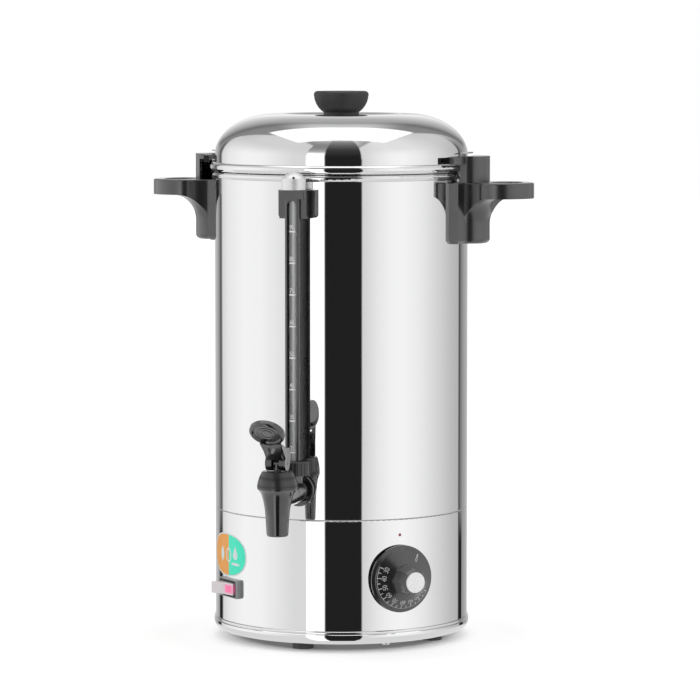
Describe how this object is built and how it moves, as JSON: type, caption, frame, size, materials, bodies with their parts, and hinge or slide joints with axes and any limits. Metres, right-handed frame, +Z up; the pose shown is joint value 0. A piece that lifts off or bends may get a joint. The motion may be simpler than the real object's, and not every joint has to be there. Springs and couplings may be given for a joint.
{
  "type": "hot water urn",
  "caption": "Electric hot water urn: polished steel tank on a heater base, lift-off domed lid, sight gauge, dispensing tap, thermostat dial, lit rocker switch and two side handles.",
  "frame": {"origin": "on the tank's upright axis, in the plane that the four feet stand on", "axes": "+Z up; -Y towards the tap and the sight gauge; +X to the handle on the dial's side"},
  "size_m": [0.346, 0.3335, 0.475],
  "materials": {
    "polished_steel": "mirror-polished stainless sheet",
    "plain_steel": "plain stainless and zinc-plated steel",
    "cast_aluminium": "as cast",
    "element_steel": "dull sheath",
    "copper": "bright copper",
    "white_insulator": "ceramic-white moulding",
    "black_rubber": "matt",
    "silicone": "translucent silicone",
    "black_electrical": "matt moulding",
    "red_plastic": "gloss",
    "black_handle_plastic": "satin black phenolic",
    "black_tap_plastic": "gloss black moulding",
    "white_nylon": "natural nylon",
    "grey_frame": "grey bezel",
    "pink_rocker": "clear tinted, lit from behind",
    "dial_black": "satin black with plain numbers",
    "silver_cap": "bright",
    "clear_glass": "clear tube",
    "black_nylon": "matt",
    "wire_sleeve": "silicone-sleeved lead"
  },
  "bodies": {
    "urn": {"tank_shell": "polished_steel", "base_shell": "polished_steel", "base_ring": "polished_steel", "tank_floor": "plain_steel", "element_clamps": "plain_steel", "base_plate": "plain_steel", "base_plate_screws": "plain_steel", "thermostat_screws": "plain_steel", "bulb_clips": "plain_steel", "earth_stud": "plain_steel", "handle_screws": "plain_steel", "handle_backing_plates": "plain_steel", "gauge_bracket_screw": "plain_steel", "heater_plate": "cast_aluminium", "heating_element": "element_steel", "thermostat_bulb": "element_steel", "capillary_tube": "copper", "switch_terminals": "copper", "thermal_cutout": "white_insulator", "terminal_block": "white_insulator", "feet": "black_rubber", "gauge_top_seal": "silicone", "gauge_bottom_seal": "silicone", "tap_seal": "silicone", "reset_housing": "black_electrical", "thermostat_body": "black_electrical", "switch_housing": "black_electrical", "handle_left": "black_handle_plastic", "handle_right": "black_handle_plastic", "gauge_top_bracket": "black_handle_plastic", "gauge_guard": "black_handle_plastic", "tap_body": "black_tap_plastic", "tap_bonnet": "black_tap_plastic", "tap_collar": "black_tap_plastic", "gauge_elbow": "black_tap_plastic", "gauge_nut": "black_tap_plastic", "tap_locknut": "white_nylon", "switch_frame": "grey_frame", "gauge_cap": "silver_cap", "gauge_glass": "clear_glass", "cable_gland": "black_nylon", "gland_cap": "black_nylon", "gland_nut": "black_nylon", "wiring": "wire_sleeve"},
    "lid": {"lid_shell": "polished_steel", "lid_lugs": "polished_steel", "lid_knob": "black_handle_plastic", "lid_knob_screw": "plain_steel"},
    "dial": {"thermostat_shaft": "plain_steel", "thermostat_knob": "dial_black", "knob_cap": "silver_cap"},
    "rocker": {"switch_rocker": "pink_rocker"},
    "reset": {"reset_button": "red_plastic"},
    "valve": {"tap_stem": "black_tap_plastic", "tap_seat_cup": "silicone", "tap_spring": "plain_steel"},
    "lever": {"tap_lever": "black_tap_plastic", "lever_pin": "black_tap_plastic"}
  },
  "joints": [
    {"name": "lid_lift", "type": "slide", "parent": "urn", "child": "lid", "axis": [0, 0, 1], "range_m": [0, 0.15]},
    {"name": "dial_turn", "type": "hinge", "parent": "urn", "child": "dial", "pos_m": [0.07859, -0.07696, 0.0627], "axis": [-0.7145, 0.6997, 0], "range_deg": [-34, 242]},
    {"name": "switch_press", "type": "hinge", "parent": "urn", "child": "rocker", "pos_m": [-0.07057, -0.07976, 0.0483], "axis": [0, 0, -1], "range_deg": [0, 11]},
    {"name": "reset_press", "type": "slide", "parent": "urn", "child": "reset", "axis": [0, 0, 1], "range_m": [0, 0.002], "stiffness_N_per_m": 800, "springref_m": -0.001},
    {"name": "tap_valve", "type": "slide", "parent": "urn", "child": "valve", "axis": [0, 0, 1], "range_m": [0, 0.0045], "deforming": ["tap_spring"]},
    {"name": "tap_lever_pull", "type": "hinge", "parent": "valve", "child": "lever", "pos_m": [0, -0.166, 0.1682], "axis": [1, 0, 0], "range_deg": [0, 33], "stiffness_Nm_per_rad": 0.045, "springref_deg": -20.05}
  ],
  "couplings": [
    {"joint": "tap_lever_pull", "follows": "tap_valve", "rad_per_m": 127.9}
  ]
}
